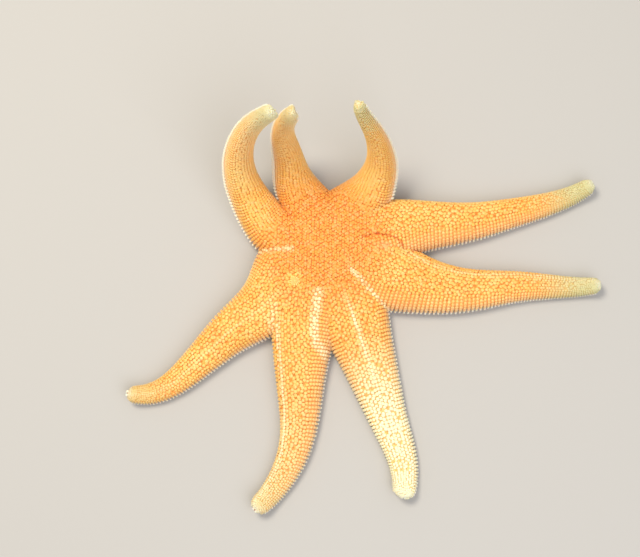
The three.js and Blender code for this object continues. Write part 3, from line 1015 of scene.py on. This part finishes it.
def foot_sites(index, skin):
    """Two rows of tube feet along the roof of the groove, each long enough to reach the floor's level."""
    way = WAYS[index]
    s = np.arange(FEET_START, way.length - FEET_END, FOOT_PITCH)
    s, side = np.concatenate([s, s + FOOT_PITCH / 2]), np.repeat([1.0, -1.0], len(s))
    w, roof = way.half_width(s), ROOF_SHARE * way.height(s)
    beside = np.minimum(0.11 * w, 0.5 * groove_half_width(np.full(len(s), index), s))
    places, _, gaps = skin.nearest(placed(way, s, side, np.stack([beside, roof], -1)))
    ahead, left, back = way.frame(s)
    out = unit(-back + left * side[:, None] * 0.12)
    thick = 0.075 * w + 0.25
    scales = np.stack([thick, thick, roof - 0.35], -1)
    lane = (2 * index + (side > 0) + 0.5) / (2 * len(WAYS))
    kept = (gaps < BURIED) & (radius_of(places) > MOUTH_RADIUS)
    return above_floor(Sites(places, ahead, out, scales, lane_spots(way, s, lane)).only(kept), 1.0)


def tip_sites(skin, down, lift):
    """One site at the feeler of each arm's tip, this far down towards the groove and out from the skin. Its
    spots lie well apart on the bake map."""
    places, along, out = [], [], []
    for index in range(len(WAYS)):
        middle, radius, _, left, _ = tip_frame(index)
        facing = feeler_direction(index)
        downwards = np.cross(facing, left)
        foot, _, _ = skin.nearest([middle + facing * radius])
        places.append(foot[0] + downwards * down + facing * lift)
        along.append(-downwards)
        out.append(facing)
    count = np.arange(len(WAYS))
    spots = np.stack([0.1 + 0.8 * (count % 3) / 2, 0.1 + 0.8 * (count // 3) / 2], -1)
    return Sites(np.array(places), np.array(along), np.array(out), np.ones((len(WAYS), 3)), spots)


# ---- Mouth and sieve plate ----
def jaw_sites(distance, height, rise, size):
    """One site on each of the jaws, which stand between the arms, facing the middle of the mouth."""
    aims = np.sort(np.radians([arm["aim"] % 360 for arm in ARMS]))
    turns = (aims + np.append(aims[1:], aims[0] + 2 * math.pi)) / 2
    way_out = np.stack([np.cos(turns), np.sin(turns), np.zeros_like(turns)], -1)
    inwards = -way_out * math.cos(rise) - np.array([0, 0, 1]) * math.sin(rise)
    places = DISC_CENTRE + way_out * distance + [0, 0, height]
    ahead = np.tile([0.0, 0.0, 1.0], (len(turns), 1)) * math.cos(rise) - way_out * math.sin(rise)
    spots = 0.5 + MOUTH_PLAN_HALF * way_out[:, :2]
    return Sites(places, ahead, inwards, np.tile(size, (len(turns), 1)).astype(float), spots)


def sieve_plate(material):
    """The grooved disc of the water system: low dome, with fine furrows that wander out from its middle."""
    low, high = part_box("madreporite")
    centre = np.array([(low[0] + high[0]) / 2, (low[1] + high[1]) / 2, high[2]]) / MM
    rings, sectors = 18, 120
    angles = 2 * math.pi * np.arange(sectors) / sectors
    r, t = np.meshgrid(np.linspace(0.02, 1, rings), angles, indexing="ij")
    furrows = 0.11 * np.sin(15 * t + 1.5 * np.sin(7 * r) + 0.8 * np.sin(3 * t)) * ramp((0.05, 0.3), r)
    z = -0.12 - 0.75 * r**2 + furrows * (1 - r**6) - 1.2 * ramp((0.9, 1), r)
    x, y = r * np.cos(t), r * np.sin(t)
    points = np.stack([SIEVE_RADIUS * x, SIEVE_RADIUS * y, z], -1).reshape(-1, 3) + centre
    ring, sector = np.meshgrid(np.arange(rings - 1), np.arange(sectors), indexing="ij")
    a, b = ring * sectors + sector, ring * sectors + (sector + 1) % sectors
    quads = np.stack([a, a + sectors, b + sectors, b], -1).reshape(-1, 4)
    middle = np.array([[0, (k + 1) % sectors, k + 2] for k in range(sectors - 2)])
    bake_map = 0.5 + MOUTH_PLAN_HALF * np.stack([x, y], -1).reshape(-1, 2)
    masks = markings(points)
    masks["lift"] = np.clip(0.5 + furrows.reshape(-1) / 0.24, 0, 1)
    masks["tone"] = np.full(len(points), 0.5)
    plate = new_object("sieve_plate", points, np.vstack([triangles(quads), middle]), masks, bake_map)
    plate.data.materials.append(material)
    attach(plate, "root")
    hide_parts("madreporite")


# ---- Materials ----
def colour(hex_code):
    """Linear colour from an sRGB hex code."""
    parts = [int(hex_code[i:i + 2], 16) / 255 for i in (1, 3, 5)]
    return tuple(c / 12.92 if c <= 0.04045 else ((c + 0.055) / 1.055) ** 2.4 for c in parts) + (1.0,)


def add(tree, kind, inputs=None, **settings):
    """Adds a node with its settings. An input is a plain value, or another node's output to link."""
    made = tree.nodes.new("ShaderNode" + kind)
    for name, value in settings.items():
        setattr(made, name, value)
    for name, value in (inputs or {}).items():
        if isinstance(value, bpy.types.NodeSocket):
            tree.links.new(value, made.inputs[name])
        else:
            made.inputs[name].default_value = value
    return made


def blend(tree, share, under, over):
    """One colour laid over another by a share from 0 to 1."""
    return add(tree, "Mix", {0: share, 6: under, 7: over}, data_type="RGBA").outputs[2]


def new_material(name):
    """A material with no nodes yet, and its node tree."""
    made = bpy.data.materials.new(name)
    made.use_nodes = True
    made.node_tree.nodes.clear()
    return made, made.node_tree


def mask_ramp(tree, mask, start, end, strength=1.0):
    """A mask that grows from 0 to its strength as the named attribute goes from start to end."""
    read = add(tree, "Attribute", attribute_name=mask)
    return add(tree, "MapRange", {0: read.outputs["Fac"], 1: start, 2: end, 3: 0.0, 4: strength},
               interpolation_type="SMOOTHSTEP").outputs[0]


# Tints of the markings on each kind of stuff, laid one over another from the second row to the last.
# The rows of the pale arm, the middle row and the creases are painted highlights; the fold's row is painted
# shade.
SKIN, STALKS, HEADS, GILLS = range(4)
TINTS = {
    "back": ("#F7AF56", "#FAB65C", "#F8B95C", "#E68C36"),
    "patches": ("#F6B65A", "#FAC066", "#FDCF78", "#E8963E"),
    "flank": ("#F7BC84", "#F9C494", "#FFD2A0", "#EA9444"),
    "disc": ("#F8A54F", "#FAA852", "#F69F44", "#F09648"),
    "tip": ("#D0C184", "#D2C68A", "#D4CD99", "#D8BC80"),
    # Painted highlight on the backs of the pale arms.
    "painted_highlight": ("#F8D690", "#FCE6B2", "#FFF5CE", "#F4C880"),
    "knob": ("#DAD0AC", "#DFD8B6", "#E0DCC0", "#DCD2AC"),
    # Painted highlights along the middle row and the creases.
    "midline_highlight": ("#F4CC90", "#F8D49C", "#FFEDC0", "#EFB870"),
    "crease_highlight": ("#F4CC90", "#F8D49C", "#FFEDC0", "#EFB870"),
    "yellow": ("#F4B44C", "#F8BC54", "#FFD670", "#E89838"),
    # Painted shade in the fold and the deep creases.
    "shaded_fold": ("#E2601C", "#E6681F", "#F2843C", "#DA5414"),
}


def marked_colour(tree, stuff):
    """The markings on one kind of stuff, the same on skin and coat: orange back with broad patches,
    pinker sides, orange disc, pale greenish tips and yellow spots. Painted light is laid in too: a painted
    highlight that pales some arms, arm 6 most, painted highlights along the middle rows and creases with
    breaks in them, and painted shade in the fold and the deep creases."""
    place = add(tree, "TexCoord").outputs["Object"]
    broad = add(tree, "TexNoise", {"Vector": place, "Scale": 55.0, "Detail": 2.0, "Roughness": 0.5})
    patches = add(tree, "MapRange", {0: broad.outputs["Fac"], 1: 0.42, 2: 0.68, 3: 0.0, 4: 0.6}).outputs[0]
    specks = add(tree, "TexNoise", {"Vector": place, "Scale": 420.0, "Detail": 1.0})
    broken = add(tree, "MapRange", {0: specks.outputs["Fac"], 1: 0.4, 2: 0.56, 3: 0.6, 4: 1.0}).outputs[0]
    # The middle row and the creases get painted highlights.
    midline_highlight = mask_ramp(tree, "midline_highlight", 0.0, 1.0, 0.8)
    crease_highlight = mask_ramp(tree, "crease_highlight", 0.1, 0.9, 0.85)
    shares = {
        "patches": patches,
        "flank": mask_ramp(tree, "across", 0.25, 0.5, 0.85),
        "disc": mask_ramp(tree, "disc", 0.1, 1.0, 0.9),
        "tip": mask_ramp(tree, "tip", 0.0, 1.0, 0.95),
        # Painted highlight that pales the backs of some arms.
        "painted_highlight": mask_ramp(tree, "painted_highlight", 0.0, 1.0, 0.9),
        "knob": mask_ramp(tree, "along", 0.975, 0.995, 0.85),
        "midline_highlight": add(tree, "Math", {0: midline_highlight, 1: broken}, operation="MULTIPLY").outputs[0],
        "crease_highlight": add(tree, "Math", {0: crease_highlight, 1: broken}, operation="MULTIPLY").outputs[0],
        "yellow": mask_ramp(tree, "yellow", 0.1, 0.9, 0.7),
        # Painted shade in the fold and the deep creases.
        "shaded_fold": mask_ramp(tree, "shaded_fold", 0.3, 0.95, 0.8),
    }
    mixed = colour(TINTS["back"][stuff])
    for marking, share in shares.items():
        mixed = blend(tree, share, mixed, colour(TINTS[marking][stuff]))
    return mixed


def finish_material(tree, base, roughness, softness, depth, wrinkles=None):
    """The shader: moist flesh and thin limy plates let light in a little way. depth is how far, in mm, for
    red. wrinkles is a height from 0 to 1, for bumps of WRINKLE_HEIGHT."""
    inputs = {"Base Color": base, "Roughness": roughness, "IOR": FLESH_IOR, "Subsurface Weight": softness,
              "Subsurface Radius": (1.0, 0.45, 0.2), "Subsurface Scale": depth * MM}
    if wrinkles is not None:
        bump = {"Height": wrinkles, "Strength": 0.6, "Distance": WRINKLE_HEIGHT * MM}
        inputs["Normal"] = add(tree, "Bump", bump).outputs[0]
    shader = add(tree, "BsdfPrincipled", inputs)
    add(tree, "OutputMaterial", {"Surface": shader.outputs[0]})


def skin_material():
    """Soft skin between the plates: deep orange carotenoid, moist, finely wrinkled at about 0.4 mm."""
    made, tree = new_material("orange_starfish_skin")
    place = add(tree, "TexCoord").outputs["Object"]
    wrinkles = add(tree, "TexNoise", {"Vector": place, "Scale": 2400.0, "Detail": 3.0})
    finish_material(tree, marked_colour(tree, SKIN), 0.45, 0.25, 1.2, wrinkles.outputs["Fac"])
    return made


def paxilla_material():
    """Limy plates under thin skin: pale yellow heads on orange stalks. The heads look brightest where light
    comes through their spinelets."""
    made, tree = new_material("paxilla_calcite_under_skin")
    share = mask_ramp(tree, "lift", 0.3, 0.75)
    lifted = blend(tree, share, marked_colour(tree, STALKS), marked_colour(tree, HEADS))
    base = blend(tree, mask_ramp(tree, "tone", 0.4, 1.0, 0.14), lifted, colour("#FFF0C0"))
    finish_material(tree, base, 0.42, 0.2, 0.8)
    return made


def gill_material():
    """Skin gills: thin wet skin over body fluid, the deepest orange of all, paler towards the tips."""
    made, tree = new_material("orange_skin_gills")
    finish_material(tree, marked_colour(tree, GILLS), 0.3, 0.3, 1.0)
    return made


def plain_material(name, tint, roughness, softness, depth, foot=None):
    """A material of one tint or, with a tint for the foot, one that changes from there to its full lift."""
    made, tree = new_material(name)
    base = colour(tint)
    if foot is not None:
        base = blend(tree, mask_ramp(tree, "lift", 0.1, 0.8), colour(foot), base)
    finish_material(tree, base, roughness, softness, depth)
    return made


# Bare calcite spinelets of margin and tips: cream, a little darker and greener at their foot.
CREAM_SPINELET = plain_material("cream_calcite_spinelets", "#F8F0DA", 0.45, 0.2, 0.8, foot="#E2C08C")
# Spines beside the groove: bare calcite, pale cream.
PALE_SPINE = plain_material("pale_calcite_spines", "#F3E3BE", 0.5, 0.2, 0.6)
# Tube feet: thin clear muscle filled with water, pale yellow.
TUBE_FOOT = plain_material("tube_foot_muscle", "#F0D49A", 0.3, 0.5, 1.5)
# The feeler that ends each arm: clear greyish muscle.
FEELER = plain_material("grey_tip_feeler", "#B4B6A8", 0.28, 0.4, 1.0)
# The light-sensing spot at the foot of the feeler: dense red pigment under clear skin.
EYESPOT = plain_material("red_eyespot_pigment", "#B8341C", 0.3, 0.1, 0.3)
# Jaw plates: thick calcite, cream.
JAW = plain_material("cream_jaw_calcite", "#EBD3A0", 0.45, 0.2, 0.8)
# Sieve plate: pale calcite with darker furrows.
SIEVE = plain_material("sieve_plate_calcite", "#FFE08C", 0.45, 0.15, 0.5, foot="#D88A3C")
# The board it lies on: matt pale grey paint.
BOARD = plain_material("matt_pale_board", "#B4B2AE", 0.8, 0.0, 0.1)


# ---- The animal ----
FLESH = ["disc"] + [f"arm_{k + 1}_{part}" for k in range(len(ARMS)) for part in ("inner", "outer", "tip")]

skin_object = make_skin(skin_material())
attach(skin_object, "root")
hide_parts(*FLESH)
surface = Surface(skin_object)

paxilla_plate = paxilla_material()
paxillae = [paxilla(crown=6, reach=0.56) for _ in range(6)]
gills = []
for k in range(len(WAYS)):
    pores = arm_pores(k)
    gills.append(gill_sites(k, surface, pores))
    coat = joined([back_sites(k, surface, pores), under_sites(k, surface), cap_sites(k, surface)])
    set_out(f"paxillae_arm_{k + 1}", paxillae, coat, paxilla_plate)
pores = disc_pores()
set_out("paxillae_disc", paxillae, disc_sites(surface, pores), paxilla_plate)
set_out("plates_under_disc", paxillae, disc_under_sites(surface), paxilla_plate)
gill_skin = gill_material()
set_out("gills_arms", [gill_tuft() for _ in range(4)], joined(gills), gill_skin)
set_out("gills_disc", [gill_tuft() for _ in range(4)], on_disc(surface, pores, scale=0.95), gill_skin)


def on_arms(find, **options):
    """The sites that a function finds on each of the arms, as one."""
    return joined([find(k, surface, **options) for k in range(len(WAYS))])


def combs_on_arms(name, material, comb_sizes, **row):
    """A piece of four kinds of comb, in a row on each side of every arm."""
    combs = [comb(**comb_sizes) for _ in range(4)]
    set_out(name, combs, on_arms(row_sites, **row), material)


combs_on_arms("margin_fringe", CREAM_SPINELET,
              dict(columns=2, rows=4, column_gap=0.4, row_gap=0.44, length=FRINGE_DEPTH, thickness=0.24),
              corner=MARGIN_CORNER, leans=((0.99, 0.05), (0.5, -0.87)), height=FRINGE_DEPTH, lead_mm=1.0,
              closest=22)
combs_on_arms("ridge_spines", PALE_SPINE,
              dict(columns=1, rows=4, column_gap=0.5, row_gap=0.62, length=SPINE_DEPTH - 0.1, thickness=0.24,
                   splay=0.3),
              corner=FOOT_CORNER, leans=((0.1, -0.99),) * 2, height=SPINE_DEPTH, lead_mm=0.4)
combs_on_arms("furrow_spines", PALE_SPINE,
              dict(columns=3, rows=1, column_gap=0.42, row_gap=0.4, length=SPINE_DEPTH, thickness=0.17,
                   splay=0.25),
              corner=FOOT_CORNER - 1, leans=((-0.45, -0.89),) * 2, height=SPINE_DEPTH, lead_mm=0.4)
set_out("tube_feet", [tube_foot()], on_arms(foot_sites), TUBE_FOOT)

tip_collar = collar(count=10, radius=1.35, length=1.1, thickness=0.36)
at_tips = tip_sites(surface, down=0, lift=0)
set_out("tip_collars", [tip_collar], at_tips, CREAM_SPINELET)
set_out("tip_feelers", [knob(radius=0.8, height=0.9)], at_tips, FEELER)
under_feelers = tip_sites(surface, down=0.75, lift=0.25)
set_out("eyespots", [knob(radius=0.24, height=0.3)], under_feelers, EYESPOT)

round_mouth = jaw_sites(distance=7.6, height=3.9, rise=0.2, size=(1.7, 3.0, 3.6))
jaws = set_out("jaws", [knob(radius=1.0, height=1.0)], round_mouth, JAW)
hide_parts("mouth")
jaw_comb = comb(columns=2, rows=5, column_gap=0.7, row_gap=0.75, length=4.2, thickness=0.33, splay=-0.25)
in_mouth = jaw_sites(distance=5.6, height=2.9, rise=0.15, size=(1, 1, 1))
set_out("jaw_spines", [jaw_comb], in_mouth, PALE_SPINE)
sieve_plate(SIEVE)

# ---- Floor, light and camera ----
corners = np.array([(-1, -1, 0), (1, -1, 0), (1, 1, 0), (-1, 1, 0)]) * FLOOR_HALF
floor = new_object("floor", corners, [[0, 1, 2, 3]])
floor.data.materials.append(BOARD)

world = bpy.data.worlds.new("studio")
bpy.context.scene.world = world
world.use_nodes = True
background = world.node_tree.nodes["Background"]
background.inputs["Color"].default_value = colour("#F4F2EE")
background.inputs["Strength"].default_value = 0.7


def area_light(name, offset_mm, size_mm, watts, tint):
    """A soft box at an offset from the middle of the picture, aimed at it."""
    lamp = bpy.data.lights.new(name, "AREA")
    lamp.shape = "DISK"
    lamp.size = size_mm * MM
    lamp.energy = watts
    lamp.color = colour(tint)[:3]
    obj = bpy.data.objects.new(name, lamp)
    bpy.context.collection.objects.link(obj)
    obj.location = Vector((LOOK_AT + np.array(offset_mm)) * MM)
    obj.rotation_euler = (-Vector(offset_mm)).to_track_quat("-Z", "Y").to_euler()


area_light("key_soft_box", (-330, 330, 950), 420, 9.0, "#FFF6E6")
area_light("fill_soft_box", (400, -500, 800), 900, 5.0, "#F2F4FF")

azimuth, elevation = math.radians(CAMERA_AZIMUTH), math.radians(CAMERA_ELEVATION)
towards = np.array([math.sin(azimuth) * math.cos(elevation), -math.cos(azimuth) * math.cos(elevation),
                    math.sin(elevation)])
upwards = np.array([0.0, 1.0, 0.0])
upwards = unit(upwards - towards * (upwards @ towards))
rightwards = np.cross(upwards, towards)
camera_data = bpy.data.cameras.new("camera")
camera_data.sensor_width = SENSOR_WIDTH
camera_data.lens = SENSOR_WIDTH * CAMERA_DISTANCE / (IMAGE_WIDTH_PX * MM_PER_PX)
camera = bpy.data.objects.new("camera", camera_data)
bpy.context.collection.objects.link(camera)
camera.matrix_world = (Matrix.Translation(Vector((LOOK_AT + towards * CAMERA_DISTANCE) * MM))
                       @ Matrix(np.column_stack([rightwards, upwards, towards]).tolist()).to_4x4())
bpy.context.scene.camera = camera
bpy.context.scene.view_settings.view_transform = "Standard"

bpy.context.view_layer.update()
